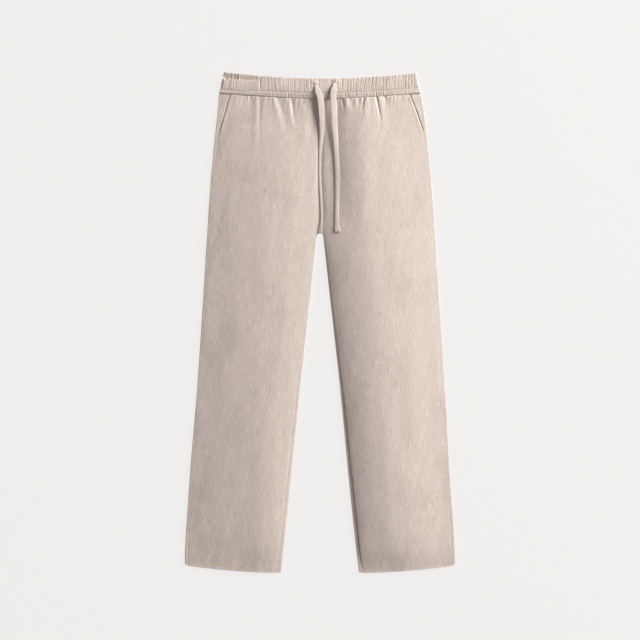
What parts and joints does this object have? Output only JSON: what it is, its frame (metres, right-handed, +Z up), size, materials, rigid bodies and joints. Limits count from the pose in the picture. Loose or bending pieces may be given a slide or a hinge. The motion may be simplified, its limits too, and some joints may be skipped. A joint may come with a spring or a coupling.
{
  "type": "linen drawstring trousers",
  "caption": "Straight-leg linen trousers laid flat, front up, with a gathered elastic waistband, slanted side pockets and a flat drawstring.",
  "frame": {"origin": "centre of the flat-laid garment's outline, on the surface that it lies on", "axes": "+Y from the hems to the waistband, +X across to the right as seen from the front, +Z up out of the front"},
  "size_m": [0.562, 1.04, 0.0176],
  "materials": {
    "linen": "matte, dry melange plain weave with slubs",
    "drawstring_linen": "matte, dense plain weave, a little paler than the body"
  },
  "bodies": {
    "root": {"front_left": "linen", "front_right": "linen", "back_left": "linen", "back_right": "linen", "pocket_facing_left": "linen", "pocket_facing_right": "linen", "waistband": "linen", "drawstring_left": "drawstring_linen", "drawstring_right": "drawstring_linen"}
  },
  "joints": []
}
